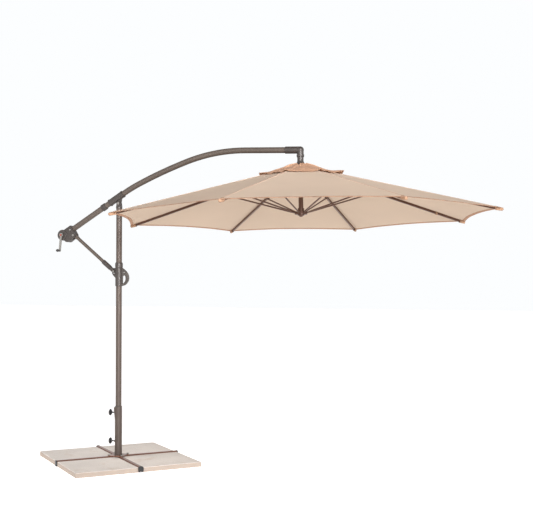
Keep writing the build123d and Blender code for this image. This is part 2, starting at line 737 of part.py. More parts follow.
with BuildPart() as crank_grip:
    with BuildSketch(Plane.XY.offset(LEVER_FOOT[1])):
        with BuildLine():
            Line((LEVER_FOOT[0], -CRANK_PLANE - 0.4), (LEVER_FOOT[0] + 8, -CRANK_PLANE - 0.4))
            Spline(
                (LEVER_FOOT[0] + 8, -CRANK_PLANE - 0.4),
                (LEVER_FOOT[0] + 9.5, -CRANK_PLANE - 18),
                (LEVER_FOOT[0] + 11.5, -CRANK_PLANE - 34),
                (LEVER_FOOT[0] + 7, -CRANK_PLANE - 44),
                (LEVER_FOOT[0], -CRANK_PLANE - 46),
            )
            Line((LEVER_FOOT[0], -CRANK_PLANE - 46), (LEVER_FOOT[0], -CRANK_PLANE - 0.4))
        make_face()
    revolve(axis=Axis(side_point(LEVER_FOOT), (0, 1, 0)))
    with BuildSketch(Plane.XZ.offset(CRANK_PLANE)):
        with Locations(LEVER_FOOT):
            Circle(4 + PIN_GAP)
    extrude(amount=35.5, mode=Mode.SUBTRACT)
save(crank_grip, "crank_grip")

# ---------------------------------------------------------------- swivel neck and rib crown
with BuildPart() as swivel_neck:
    with BuildSketch(Plane(origin=CANOPY.origin, x_dir=CANOPY.x_dir, z_dir=(0, -1, 0))):
        with BuildLine():
            Polyline(
                (0, 393),
                (24, 393),
                (24, 405),
                (42, 405),
                (42, 409),
                (30, 419),
                (24, 434),
                (24, 464),
                (28.5, 466),
                (28.5, seat_level - RUNNING_GAP),
                (SPIGOT_R, seat_level - RUNNING_GAP),
                (SPIGOT_R, seat_level + 29),
                (0, seat_level + 29),
                close=True,
            )
        make_face()
    revolve(axis=Axis(CANOPY.origin, CANOPY.z_dir))
save(swivel_neck, "swivel_neck")

crown_low = RIB_PIVOT_H - 14
crown_high = RIB_PIVOT_H + 14
SLOT_HALF = TONGUE_HALF + 0.6
rib_angles = [FIRST_RIB + 360 / RIB_COUNT * k for k in range(RIB_COUNT)]


def notched_hub(core_r, rim_r, slot_floor, low, high):
    """Turned hub with one radial slot for each rib or stretcher."""
    with BuildPart() as hub:
        with BuildSketch(CANOPY.offset(low)):
            Circle(rim_r)
            with PolarLocations(slot_floor, RIB_COUNT, start_angle=FIRST_RIB):
                Rectangle(60, 2 * SLOT_HALF, align=(Align.MIN, Align.CENTER), mode=Mode.SUBTRACT)
        extrude(amount=high - low)
        with BuildSketch(CANOPY.offset(low - 8)):
            Circle(core_r)
        extrude(amount=8)
    return hub


def radial_plane(angle):
    """Plane through the canopy's axis: sketch X runs outwards, sketch Y up the axis."""
    outwards = CANOPY.x_dir * cos(radians(angle)) + CANOPY.y_dir * sin(radians(angle))
    return Plane(origin=CANOPY.origin, x_dir=outwards, z_dir=outwards.cross(CANOPY.z_dir))


PIVOT_PIN_R = 3.0
PIVOT_PIN_HALF = 8.0
with BuildPart() as rib_crown:
    add(notched_hub(26, 50, 28, crown_low, crown_high).part)
    for rib_angle in rib_angles:
        with BuildSketch(radial_plane(rib_angle)):
            with Locations((RIB_PIVOT_R, RIB_PIVOT_H)):
                Circle(PIVOT_PIN_R + PIN_GAP)
        extrude(amount=PIVOT_PIN_HALF, both=True, mode=Mode.SUBTRACT)
save(rib_crown, "rib_crown")

with BuildPart() as crown_pins:
    for rib_angle in rib_angles:
        with BuildSketch(radial_plane(rib_angle)):
            with Locations((RIB_PIVOT_R, RIB_PIVOT_H)):
                Circle(PIVOT_PIN_R)
        extrude(amount=PIVOT_PIN_HALF - 0.1, both=True)
save(crown_pins, "crown_pins")

# ---------------------------------------------------------------- ribs and stretchers
rib_pivot = (RIB_PIVOT_R, RIB_PIVOT_H)
rib_length = (RIM_R - RIB_PIVOT_R) / cos(radians(RIB_SLOPE))
rib_tip = along(rib_pivot, -RIB_SLOPE, rib_length)
joint_on_rib = along(rib_pivot, -RIB_SLOPE, (STRETCHER_JOINT_R - RIB_PIVOT_R) / cos(radians(RIB_SLOPE)))
stretcher_joint = along(joint_on_rib, -RIB_SLOPE - 90, STRETCHER_DROP)
runner_level = 2 * stretcher_joint[1] - RIB_PIVOT_H
stretcher_foot = (RIB_PIVOT_R, runner_level)
stretcher_angle = angle_of(stretcher_foot, stretcher_joint)
stretcher_length = hypot(stretcher_joint[0] - stretcher_foot[0], stretcher_joint[1] - stretcher_foot[1])

for rib_index, rib_angle in enumerate(rib_angles, start=1):
    with BuildPart() as rib:
        with BuildSketch(radial_plane(rib_angle)):
            with Locations(rib_pivot):
                Circle(8)
            with BuildLine():
                Polyline(*bar_outline(rib_pivot, along(rib_pivot, -RIB_SLOPE, 80), 7), close=True)
            make_face()
        extrude(amount=TONGUE_HALF, both=True)
        with BuildSketch(radial_plane(rib_angle)):
            with BuildLine():
                Polyline(*bar_outline(along(rib_pivot, -RIB_SLOPE, 62), rib_tip, RIB_HEIGHT / 2), close=True)
            make_face()
        extrude(amount=RIB_WIDTH / 2, both=True)
        with BuildSketch(radial_plane(rib_angle)):
            with BuildLine():
                Polyline(
                    *bar_outline(along(rib_pivot, -RIB_SLOPE, 95), rib_tip, RIB_HEIGHT / 2 - RIB_WALL), close=True
                )
            make_face()
        extrude(amount=RIB_WIDTH / 2 - RIB_WALL, both=True, mode=Mode.SUBTRACT)
        with BuildSketch(radial_plane(rib_angle)):
            with BuildLine():
                Polyline(
                    along(joint_on_rib, -RIB_SLOPE, -22),
                    along(joint_on_rib, -RIB_SLOPE, 22),
                    along(stretcher_joint, -RIB_SLOPE, 8),
                    along(along(stretcher_joint, -RIB_SLOPE, 5), -RIB_SLOPE - 90, 6),
                    along(along(stretcher_joint, -RIB_SLOPE, -5), -RIB_SLOPE - 90, 6),
                    along(stretcher_joint, -RIB_SLOPE, -8),
                    close=True,
                )
            make_face()
        extrude(amount=TONGUE_HALF + 4.5, both=True)
        with BuildSketch(radial_plane(rib_angle)):
            with BuildLine():
                Polyline(
                    *bar_outline(
                        along(along(joint_on_rib, -RIB_SLOPE, -40), -RIB_SLOPE - 90, RIB_HEIGHT / 2 + 10),
                        along(along(joint_on_rib, -RIB_SLOPE, 40), -RIB_SLOPE - 90, RIB_HEIGHT / 2 + 10),
                        10,
                    ),
                    close=True,
                )
            make_face()
        extrude(amount=TONGUE_HALF + 0.5, both=True, mode=Mode.SUBTRACT)
        with BuildSketch(radial_plane(rib_angle)):
            with Locations(rib_pivot, stretcher_joint):
                Circle(PIVOT_PIN_R + PIN_GAP)
        extrude(amount=20, both=True, mode=Mode.SUBTRACT)
        with BuildSketch(radial_plane(rib_angle)):
            with BuildLine():
                Polyline(
                    *bar_outline(
                        along(rib_tip, -RIB_SLOPE, -16), along(rib_tip, -RIB_SLOPE, 2), RIB_HEIGHT / 2 - RIB_WALL - 0.1
                    ),
                    close=True,
                )
            make_face()
        extrude(amount=RIB_WIDTH / 2 - RIB_WALL - 0.1, both=True)
    save(rib, f"rib_{rib_index}")

    with BuildPart() as stretcher:
        with BuildSketch(radial_plane(rib_angle)):
            with Locations(stretcher_joint):
                Circle(4.6)
            with Locations(stretcher_foot):
                Circle(7)
            with BuildLine():
                Polyline(*bar_outline(stretcher_foot, stretcher_joint, 4.5), close=True)
            make_face()
        extrude(amount=TONGUE_HALF, both=True)
        tube_start = along(stretcher_foot, stretcher_angle, 42)
        tube_dir = radial_plane(rib_angle).from_local_coords(along((0, 0), stretcher_angle, 1.0))
        tube_axis = tube_dir - radial_plane(rib_angle).origin
        with BuildSketch(Plane(origin=radial_plane(rib_angle).from_local_coords(tube_start), z_dir=tube_axis)):
            Circle(STRETCHER_R)
        extrude(amount=stretcher_length - 42 - 46)
        with BuildSketch(radial_plane(rib_angle)):
            with Locations(stretcher_joint):
                Circle(PIVOT_PIN_R)
        extrude(amount=TONGUE_HALF + 4.4, both=True)
        with BuildSketch(radial_plane(rib_angle)):
            with Locations(stretcher_foot):
                Circle(2.0)
        extrude(amount=TONGUE_HALF + 0.4, both=True)
    save(stretcher, f"stretcher_{rib_index}")

# ---------------------------------------------------------------- runner and centre tube
with BuildPart() as runner:
    add(notched_hub(26, 48, 28, runner_level - 11, runner_level + 11).part)
    with BuildSketch(CANOPY.offset(runner_level - 19)):
        Circle(19)
    extrude(amount=-10, taper=45)
save(runner, "runner")

with BuildPart() as centre_tube:
    with BuildSketch(CANOPY.offset(runner_level + 11.1)):
        Circle(18)
        Circle(15.5, mode=Mode.SUBTRACT)
    extrude(amount=crown_low - 8 - 1.5 - runner_level - 11.1)
    with BuildSketch(CANOPY.offset(runner_level + 11.1)):
        Circle(24)
        Circle(17, mode=Mode.SUBTRACT)
    extrude(amount=26)
save(centre_tube, "centre_tube")

# ---------------------------------------------------------------- canopy fabric
HALF_GORE = 180 / RIB_COUNT
FABRIC_EDGE_GAP = 0.3
HEM_CURVE = 45.0
PANEL_INNER_R = 56.0
FLAP_INNER_R = 46.0
FLAP_OUTER_R = 345.0
fabric_level = RIB_PIVOT_H + FABRIC_LIFT / cos(radians(RIB_SLOPE))


def fabric_height(radius, lift):
    """Height of the fabric over the rib at a given distance from the axis."""
    return fabric_level + lift - (radius - RIB_PIVOT_R) * tan(radians(RIB_SLOPE))


def canopy_point(radius, angle, height):
    return CANOPY.from_local_coords((radius * cos(radians(angle)), radius * sin(radians(angle)), height))


def half_gore(angle, side, inner_r, outer_r, hem_curve, inner_lift, outer_lift):
    """Flat half of a gore, from the rib to the middle line of the gore."""
    middle = angle + side * HALF_GORE
    step = cos(radians(HALF_GORE))
    inner_height = fabric_height(inner_r, inner_lift)
    outer_height = fabric_height(outer_r, outer_lift)
    fall = (outer_height - inner_height) / (outer_r - inner_r)
    middle_outer_r = outer_r * step - hem_curve
    middle_outer_height = inner_height + fall * (middle_outer_r / step - inner_r)
    inner_trim = degrees(FABRIC_EDGE_GAP / inner_r) * side
    outer_trim = degrees(FABRIC_EDGE_GAP / middle_outer_r) * side
    corners = (
        canopy_point(inner_r, angle, inner_height),
        canopy_point(outer_r, angle, outer_height),
        canopy_point(middle_outer_r, middle - outer_trim, middle_outer_height),
        canopy_point(inner_r * step, middle - inner_trim, inner_height),
    )
    normal = (corners[1] - corners[0]).cross(corners[2] - corners[0])
    if normal.dot(CANOPY.z_dir) < 0:
        normal = normal * -1
    sheet_plane = Plane(origin=corners[0], x_dir=corners[1] - corners[0], z_dir=normal)
    flat = [sheet_plane.to_local_coords(corner) for corner in corners]
    with BuildPart() as sheet:
        with BuildSketch(sheet_plane):
            with BuildLine():
                Polyline(*[(point.X, point.Y) for point in flat], close=True)
            make_face()
        extrude(amount=-FABRIC_THICKNESS)
    return sheet.part


for panel_index, panel_angle in enumerate(rib_angles, start=1):
    with BuildPart() as canopy_panel:
        for side in (-1, 1):
            add(half_gore(panel_angle, side, PANEL_INNER_R, HEM_R, HEM_CURVE, 0, 0))
        for side in (-1, 1):
            add(half_gore(panel_angle, side, FLAP_INNER_R, FLAP_OUTER_R, 8, 20, 8))
    save(canopy_panel, f"canopy_panel_{panel_index}")
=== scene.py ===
import json
import math

import bmesh
import bpy
from mathutils import Matrix, Vector, noise


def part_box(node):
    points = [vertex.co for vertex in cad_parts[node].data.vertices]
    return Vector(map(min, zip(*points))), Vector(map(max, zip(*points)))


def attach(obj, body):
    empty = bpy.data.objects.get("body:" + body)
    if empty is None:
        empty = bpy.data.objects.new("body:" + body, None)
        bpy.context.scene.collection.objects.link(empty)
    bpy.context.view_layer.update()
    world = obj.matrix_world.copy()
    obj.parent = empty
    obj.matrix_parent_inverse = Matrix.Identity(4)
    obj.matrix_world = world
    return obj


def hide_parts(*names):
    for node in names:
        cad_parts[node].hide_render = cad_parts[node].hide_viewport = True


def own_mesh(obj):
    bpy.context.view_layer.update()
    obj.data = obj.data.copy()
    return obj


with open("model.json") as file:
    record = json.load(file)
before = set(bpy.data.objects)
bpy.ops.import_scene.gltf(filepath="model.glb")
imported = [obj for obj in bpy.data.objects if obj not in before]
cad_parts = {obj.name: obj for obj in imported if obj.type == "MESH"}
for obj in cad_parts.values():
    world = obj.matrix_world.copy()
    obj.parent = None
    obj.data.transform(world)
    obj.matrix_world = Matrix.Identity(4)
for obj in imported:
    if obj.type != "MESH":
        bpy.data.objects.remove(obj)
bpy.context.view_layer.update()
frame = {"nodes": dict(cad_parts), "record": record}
record = frame["record"]
NODES = frame["nodes"]
JOINTS = {joint["name"]: joint for joint in record["behaviour"]["joints"]}
COLLECTION = bpy.context.scene.collection


# ---------------------------------------------------------------- materials
def linear(red, green, blue):
    """Linear colour of an 8-bit sRGB one."""
    out = []
    for part in (red, green, blue):
        c = part / 255
        out.append(c / 12.92 if c <= 0.04045 else ((c + 0.055) / 1.055) ** 2.4)
    return (*out, 1.0)


def shade(color, factor):
    return (*[min(1.0, c * factor) for c in color[:3]], 1.0)


# Colour sockets of the mix node: its two inputs and its output.
MIX_A, MIX_B, MIX_RESULT = 6, 7, 2


class Paint:
    """A Principled material with helpers that add procedural detail to it."""

    def __init__(self, name, color, rough, metal=0.0):
        self.mat = bpy.data.materials.new(name)
        self.mat.use_nodes = True
        self.tree = self.mat.node_tree
        self.shader = self.tree.nodes["Principled BSDF"]
        self.shader.inputs["Base Color"].default_value = color
        self.shader.inputs["Roughness"].default_value = rough
        self.shader.inputs["Metallic"].default_value = metal
        self.mat.diffuse_color = color
        coords = self.node("ShaderNodeTexCoord")
        self.where = coords.outputs["Object"]
        self.cloth_where = coords.outputs["UV"]
        self.color = None
        self.normal = None
        self.base = color

    def node(self, kind, **values):
        made = self.tree.nodes.new(kind)
        for key, value in values.items():
            if key in made.inputs:
                made.inputs[key].default_value = value
            else:
                setattr(made, key, value)
        return made

    def join(self, source, target):
        self.tree.links.new(source, target)

    def noise(self, scale, detail=4.0, rough=0.55, stretch=(1, 1, 1), vector=None):
        mapping = self.node("ShaderNodeMapping")
        mapping.inputs["Scale"].default_value = stretch
        self.join(vector or self.where, mapping.inputs["Vector"])
        texture = self.node("ShaderNodeTexNoise", Scale=scale, Detail=detail, Roughness=rough)
        self.join(mapping.outputs["Vector"], texture.inputs["Vector"])
        return texture.outputs["Fac"]

    def ramp(self, source, stops):
        made = self.node("ShaderNodeValToRGB")
        elements = made.color_ramp.elements
        while len(elements) < len(stops):
            elements.new(0.5)
        for element, (place, color) in zip(elements, stops):
            element.position = place
            element.color = color if hasattr(color, "__len__") else (color, color, color, 1)
        self.join(source, made.inputs["Fac"])
        return made.outputs["Color"]

    def tint(self, mask, color, amount=1.0):
        """Mixes a colour in where the mask is bright."""
        mix = self.node("ShaderNodeMix", data_type="RGBA")
        scaled = self.node("ShaderNodeMath", operation="MULTIPLY")
        self.join(mask, scaled.inputs[0])
        scaled.inputs[1].default_value = amount
        self.join(scaled.outputs[0], mix.inputs["Factor"])
        if self.color is None:
            mix.inputs[MIX_A].default_value = self.base
        else:
            self.join(self.color, mix.inputs[MIX_A])
        mix.inputs[MIX_B].default_value = color
        self.color = mix.outputs[MIX_RESULT]
        return self

    def vary(self, scale, low, high, detail=4.0):
        """Soft patches between a darker and a lighter tone of the base colour."""
        fac = self.noise(scale, detail)
        dark = self.ramp(fac, ((0.35, 1.0), (0.55, 0.0)))
        light = self.ramp(fac, ((0.5, 0.0), (0.7, 1.0)))
        self.tint(dark, shade(self.base, low))
        self.tint(light, shade(self.base, high))
        return self

    def sides(self, color, amount):
        """Paints shade onto the faces that stand upright: a darker colour on the sides stands in for
        the shade that falls there.
        """
        geometry = self.node("ShaderNodeNewGeometry")
        split = self.node("ShaderNodeSeparateXYZ")
        self.join(geometry.outputs["True Normal"], split.inputs["Vector"])
        upright = self.node("ShaderNodeMath", operation="ABSOLUTE")
        self.join(split.outputs["Z"], upright.inputs[0])
        return self.tint(self.ramp(upright.outputs[0], ((0.25, 1.0), (0.6, 0.0))), color, amount)

    def bump(self, height, strength, distance):
        made = self.node("ShaderNodeBump", Strength=strength, Distance=distance)
        self.join(height, made.inputs["Height"])
        if self.normal is not None:
            self.join(self.normal, made.inputs["Normal"])
        self.normal = made.outputs["Normal"]
        return self

    def roughness(self, source, low, high):
        spread = self.node("ShaderNodeMapRange")
        spread.inputs["To Min"].default_value = low
        spread.inputs["To Max"].default_value = high
        self.join(source, spread.inputs["Value"])
        self.join(spread.outputs["Result"], self.shader.inputs["Roughness"])
        return self

    def done(self):
        if self.color is not None:
            self.join(self.color, self.shader.inputs["Base Color"])
        if self.normal is not None:
            self.join(self.normal, self.shader.inputs["Normal"])
        return self.mat


def coated_metal(name, color, rough, metal):
    """Powder coat: slight waviness, faint cloudiness, small scuffs."""
    paint = Paint(name, color, rough, metal)
    paint.vary(3.5, 0.93, 1.06, detail=2.0)
    scuffs = paint.ramp(paint.noise(55.0, 7.0, 0.7), ((0.7, 0.0), (0.76, 1.0)))
    paint.tint(scuffs, shade(color, 1.25), 0.12)
    paint.roughness(paint.noise(9.0, 2.0), rough - 0.03, rough + 0.05)
    paint.bump(paint.noise(130.0, 2.0), 0.05, 0.0003)
    return paint.done()


def cast_metal(name, color, rough):
    """Painted casting: coarse skin with worn high spots."""
    paint = Paint(name, color, rough, 0.3)
    paint.vary(6.0, 0.9, 1.08, detail=2.0)
    worn = paint.ramp(paint.noise(60.0, 6.0, 0.65), ((0.66, 0.0), (0.74, 1.0)))
    paint.tint(worn, shade(color, 1.3), 0.14)
    paint.roughness(paint.noise(14.0, 2.0), rough - 0.03, rough + 0.06)
    paint.bump(paint.noise(420.0, 5.0), 0.12, 0.0004)
    return paint.done()


def moulded(name, color, rough):
    """Plastic with a fine moulded skin."""
    paint = Paint(name, color, rough)
    paint.vary(20.0, 0.82, 1.25)
    paint.roughness(paint.noise(120.0, 4.0), rough - 0.08, rough + 0.12)
    paint.bump(paint.noise(1500.0, 3.0), 0.25, 0.0003)
    return paint.done()


def bare_metal(name, color, rough):
    """Unpainted metal with dull patches."""
    paint = Paint(name, color, rough, 0.9)
    paint.vary(12.0, 0.88, 1.06)
    paint.roughness(paint.noise(40.0, 3.0), rough - 0.05, rough + 0.1)
    paint.bump(paint.noise(700.0, 3.0), 0.18, 0.0002)
    return paint.done()


def concrete(name, color):
    """Cast slab: sand grain, pits, small stones, damp, rubbed patches, and painted shade on the
    upright sides.
    """
    paint = Paint(name, color, 0.88)
    paint.vary(3.2, 0.93, 1.05, detail=7.0)
    stones = paint.ramp(paint.noise(170.0, 3.0), ((0.62, 0.0), (0.68, 1.0)))
    paint.tint(stones, linear(176, 158, 140), 0.55)
    pale = paint.ramp(paint.noise(240.0, 3.0), ((0.64, 0.0), (0.7, 1.0)))
    paint.tint(pale, linear(240, 234, 226), 0.6)
    stains = paint.ramp(paint.noise(5.5, 8.0, 0.7), ((0.56, 0.0), (0.72, 1.0)))
    paint.tint(stains, linear(190, 166, 142), 0.45)
    # Painted shade: the upright sides of the slab are coloured darker in place of the shade that
    # falls on them.
    paint.sides(linear(176, 160, 147), 0.95)
    pits = paint.ramp(paint.noise(95.0, 6.0, 0.6), ((0.3, 0.0), (0.42, 1.0)))
    paint.bump(pits, 0.5, 0.0012)
    paint.bump(paint.noise(600.0, 4.0), 0.4, 0.0006)
    return paint.done()


# Radians that the wave texture turns through in one unit at scale 1.
WAVE_RADIANS = 20


def cloth(name, color, weave=0.0013, light_through=0.25):
    """Woven polyester: crossed threads, slubs, soft patches, a little light through it."""
    paint = Paint(name, color, 0.85)
    paint.vary(1.6, 0.965, 1.03, detail=5.0)
    for stretch, tone, amount in (((900, 14, 1), 1.1, 0.35), ((14, 900, 1), 0.9, 0.3)):
        slubs = paint.noise(1.0, 3.0, stretch=stretch, vector=paint.cloth_where)
        paint.tint(paint.ramp(slubs, ((0.6, 0.0), (0.75, 1.0))), shade(color, tone), amount)
    wave_scale = 2 * math.pi / (WAVE_RADIANS * weave)
    threads = []
    for direction in ("X", "Y"):
        wave = paint.node("ShaderNodeTexWave", Scale=wave_scale)
        wave.bands_direction = direction
        paint.join(paint.cloth_where, wave.inputs["Vector"])
        threads.append(wave.outputs["Fac"])
    crossed = paint.node("ShaderNodeMath", operation="MULTIPLY")
    paint.join(threads[0], crossed.inputs[0])
    paint.join(threads[1], crossed.inputs[1])
    paint.bump(crossed.outputs[0], 0.25, 0.0002)
    paint.bump(paint.noise(9.0, 5.0), 0.2, 0.004)
    paint.shader.inputs["Sheen Weight"].default_value = 0.04
    paint.shader.inputs["Sheen Roughness"].default_value = 0.6
    paint.shader.inputs["Specular IOR Level"].default_value = 0.2
    mat = paint.done()
    if light_through:
        through = paint.node("ShaderNodeBsdfTranslucent", Color=shade(color, 0.95))
        mix = paint.node("ShaderNodeMixShader", Fac=light_through)
        output = paint.tree.nodes["Material Output"]
        paint.join(paint.shader.outputs[0], mix.inputs[1])
        paint.join(through.outputs[0], mix.inputs[2])
        paint.join(mix.outputs[0], output.inputs["Surface"])
    return mat


FABRIC = linear(222, 201, 180)
LOOKS = {
    "concrete": concrete("cast concrete", linear(225, 219, 213)),
    "base_steel": coated_metal("base paint", linear(122, 84, 68), 0.3, 0.4),
    "mast_paint": coated_metal("mast paint", linear(84, 72, 65), 0.5, 0.2),
    "arm_paint": coated_metal("arm paint", linear(88, 78, 71), 0.46, 0.25),
    "fitting": cast_metal("painted casting", linear(70, 64, 61), 0.44),
    "rib_paint": coated_metal("rib paint", linear(100, 72, 60), 0.34, 0.3),
    "black_plastic": moulded("black plastic", linear(38, 38, 39), 0.42),
    "dark_plastic": moulded("dark plastic", linear(70, 64, 60), 0.45),
    "grip_plastic": moulded("grip plastic", linear(48, 45, 43), 0.5),
    "light_metal": bare_metal("cast light metal", linear(158, 155, 150), 0.45),
    "bright_steel": bare_metal("zinc plated steel", linear(160, 157, 152), 0.38),
    "canopy_fabric": cloth("canopy cloth", FABRIC),
}
# Painted shade: the vent flap is the canopy's own cloth, coloured darker and warmer to stand in for
# the shade in its folds.
VENT_CLOTH_PAINTED_SHADE = cloth("vent cloth with painted shade", linear(198, 154, 124), light_through=0.15)
HEM_CLOTH = cloth("hem cloth", linear(172, 132, 106), light_through=0.0)
POCKET_CLOTH = cloth("pocket cloth", linear(170, 134, 108), light_through=0.0)
TAPE_CLOTH = cloth("seam tape", linear(212, 182, 160), weave=0.0009, light_through=0.0)
THREAD = moulded("sewing thread", linear(180, 142, 116), 0.7)

for entry in record["subparts"]:
    part = NODES[entry["node"]]
    part.data.materials.clear()
    part.data.materials.append(LOOKS[entry["material_slot"]])
for browner in ("runner", "centre_tube", "rib_crown"):
    NODES[browner].data.materials[0] = LOOKS["rib_paint"]
NODES["lower_tube"].data.materials[0] = LOOKS["mast_paint"]


# ---------------------------------------------------------------- mesh helpers
def piece(name, verts, faces, material, body, uvs=None):
    """A smooth mesh that rides on a body."""
    mesh = bpy.data.meshes.new(name)
    mesh.from_pydata([tuple(v) for v in verts], [], faces)
    mesh.materials.append(material)
    if uvs:
        layer = mesh.uv_layers.new(name="weave")
        for loop in mesh.loops:
            layer.data[loop.index].uv = uvs[loop.vertex_index]
    mesh.shade_smooth()
    made = bpy.data.objects.new(name, mesh)
    COLLECTION.objects.link(made)
    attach(made, body)
    return made


def grid_faces(rows, columns, closed=False):
    """Quads of a grid whose vertices run along the columns first."""
    faces = []
    for i in range(rows - 1):
        for j in range(columns if closed else columns - 1):
            k = (j + 1) % columns
            here, there = i * columns, (i + 1) * columns
            faces.append((here + j, here + k, there + k, there + j))
    return faces


def outwards(obj):
    """Turns all faces of a closed mesh outwards."""
    work = bmesh.new()
    work.from_mesh(obj.data)
    bmesh.ops.recalc_face_normals(work, faces=work.faces)
    work.to_mesh(obj.data)
    work.free()
    return obj


# ---------------------------------------------------------------- canopy geometry, from the joints
UP = Vector(JOINTS["canopy_swivel"]["axis"]).normalized()
RIBS = 8
HALF_GORE = math.pi / RIBS
SIDE_PER_RADIUS = 0.3536  # half the width of a rib's cloth, over its radius
PIVOT_R = 0.038
SLOPE = math.radians(14.84)
LIFT = 0.0115 / math.cos(SLOPE)
INNER_R = 0.056
TIP_R = 1.5
HEM_DEPTH = 0.0487
FLAP_INNER_R = 0.047
FLAP_R = 0.345
ACROSS_STEPS = 12
CLOTH_THICKNESS = 0.0007
POCKET_THICKNESS = 0.0009
HEM_WIDTH, HEM_THICK = 0.026, 0.0008
FLAP_HEM_WIDTH, FLAP_HEM_THICK = 0.011, 0.0012
HEM_OVERHANG = 0.0018
HEM_DROP = 0.0004
THREAD_R = 0.0006
STITCH_LIFT = 0.0021
STITCH_STEP = 0.009
STITCHED_SHARE = 0.965
HEM_STITCH_INSETS = (0.006, 0.021)
SEAM_STITCH_OFFSETS = (-0.0048, 0.0048)
SEAM_STITCH_START, SEAM_STITCH_END = 0.36, 1.46
CRISP_EDGE = math.radians(50)


class Rib:
    """A rib's place and directions, taken from its hinge."""

    def __init__(self, number):
        self.number = number
        self.fold = "canopy_fold" if number == 1 else f"rib_{number}_fold"
        self.body = f"rib_group_{number}"
        joint = JOINTS[self.fold]
        self.across = Vector(joint["axis"]).normalized()
        self.out = self.across.cross(UP)
        self.pivot = Vector(joint["pos_m"])
        self.axis_point = self.pivot - self.out * PIVOT_R

    def place(self, radius, share, height):
        """Point over the straight line between two ribs.

        share runs from -1 to 1 across the rib's cloth, and height is above the pivots.
        """
        out = radius * (1 - abs(share) * math.sin(HALF_GORE) ** 2)
        side = share * radius * math.cos(HALF_GORE) * math.sin(HALF_GORE)
        return self.axis_point + self.out * out + self.across * side + UP * height

    def fold_flat(self, obj):
        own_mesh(obj)


def rib_height(radius):
    return LIFT - (radius - PIVOT_R) * math.tan(SLOPE)


def hem_radius(share):
    """The hem hangs in a curve between two rib tips."""
    return TIP_R - HEM_DEPTH * (1 - (1 - abs(share)) ** 1.9)


def sag(radius, share):
    along = max(0.0, min(1.0, (radius - INNER_R) / (TIP_R - INNER_R)))
    across = 1 - (1 - abs(share)) ** 2
    return -0.009 * math.sin(math.pi * along) ** 0.8 * across


def creases(point, radius, share):
    """Shallow pulls that fan out from the rib tips, and soft unevenness."""
    rim = max(0.0, (radius - 0.9) / 0.6)
    soft = noise.noise(point * 2.3) * 0.0022
    fine = noise.noise(Vector((point.x * 7, point.y * 7, 3.1))) * 0.0016 * rim
    edge = 1 - (1 - abs(share)) ** 2
    return (soft + fine) * edge


def cloth_point(rib, radius, share, lift=0.0):
    flat = rib.place(radius, share, rib_height(radius))
    return flat + UP * (sag(radius, share) + creases(flat, radius, share) + lift)


def cloth_uv(radius, share):
    return (share * radius * SIDE_PER_RADIUS, radius / math.cos(SLOPE))


def solid_cloth(obj, thickness, offset=-1.0):
    """Gives the sheet its two faces, with a crisp rim so that the faces shade evenly up to it."""
    thick = obj.modifiers.new("cloth thickness", "SOLIDIFY")
    thick.thickness = thickness
    thick.offset = offset
    bpy.context.view_layer.update()
    made = bpy.data.meshes.new_from_object(obj.evaluated_get(bpy.context.evaluated_depsgraph_get()))
    obj.modifiers.clear()
    obj.data = made
    made.set_sharp_from_angle(angle=CRISP_EDGE)
    return obj


def shares(steps):
    """Shares across a rib's cloth, closer together where the cloth breaks over the rib."""
    half = [((i / steps) ** 1.35) for i in range(steps + 1)]
    return [-s for s in reversed(half[1:])] + half


def gore_sheet(rib):
    columns = shares(ACROSS_STEPS)
    rows = 44
    verts, uvs = [], []
    for i in range(rows):
        v = i / (rows - 1)
        for share in columns:
            radius = INNER_R + (hem_radius(share) - INNER_R) * v
            verts.append(cloth_point(rib, radius, share))
            uvs.append(cloth_uv(radius, share))
    faces = grid_faces(rows, len(columns))
    made = piece(f"canopy_cloth_{rib.number}", verts, faces, LOOKS["canopy_fabric"], rib.body, uvs)
    return solid_cloth(made, CLOTH_THICKNESS)


def hem_band(name, rib, edge, width, surface, thick):
    """Folded edge: a closed flat tube of cloth round the sheet's outer edge."""
    columns = shares(ACROSS_STEPS)
    profile = (
        (0.0, 1.0), (-0.35, 1.25), (-0.7, 1.2), (-0.93, 1.25), (-1.0, 0.6),
        (-1.0, -0.6), (-0.93, -1.1), (-0.7, -1.2), (-0.35, -1.25), (0.0, -1.0),
    )
    verts, uvs = [], []
    for share in columns:
        outer = edge(share)
        for along, up in profile:
            radius = outer - width * (1 + along) + HEM_OVERHANG
            level = thick * up * 1.3 - HEM_DROP
            verts.append(surface(rib, radius, share, level))
            uvs.append(cloth_uv(radius, share))
    faces = grid_faces(len(columns), len(profile), closed=True)
    made = piece(name, verts, faces, HEM_CLOTH, rib.body, uvs)
    caps = bmesh.new()
    caps.from_mesh(made.data)
    bmesh.ops.holes_fill(caps, edges=[e for e in caps.edges if e.is_boundary], sides=0)
    bmesh.ops.recalc_face_normals(caps, faces=caps.faces)
    caps.to_mesh(made.data)
    caps.free()
    made.data.shade_smooth()
    return made


def stitches(name, rib, lines):
    """Short thread stitches; a line is a list of stitches, each with its two (radius, share) ends."""
    verts, faces = [], []
    for line in lines:
        for start, end in line:
            a = cloth_point(rib, *start, STITCH_LIFT)
            b = cloth_point(rib, *end, STITCH_LIFT)
            run = (b - a) * 0.5
            middle = (a + b) / 2
            side = run.cross(UP).normalized() * THREAD_R
            up = UP * THREAD_R
            first = len(verts)
            for share, size in ((-0.62, 0.35), (-0.3, 1.0), (0.3, 1.0), (0.62, 0.35)):
                centre = middle + run * share
                verts += [centre + side * size, centre + up * size]
                verts += [centre - side * size, centre - up * size]
            for ring in range(3):
                for corner in range(4):
                    nxt = (corner + 1) % 4
                    low, high = first + ring * 4, first + ring * 4 + 4
                    faces.append((low + corner, low + nxt, high + nxt, high + corner))
            faces.append((first, first + 1, first + 2, first + 3))
            faces.append((first + 15, first + 14, first + 13, first + 12))
    return outwards(piece(name, verts, faces, THREAD, rib.body))


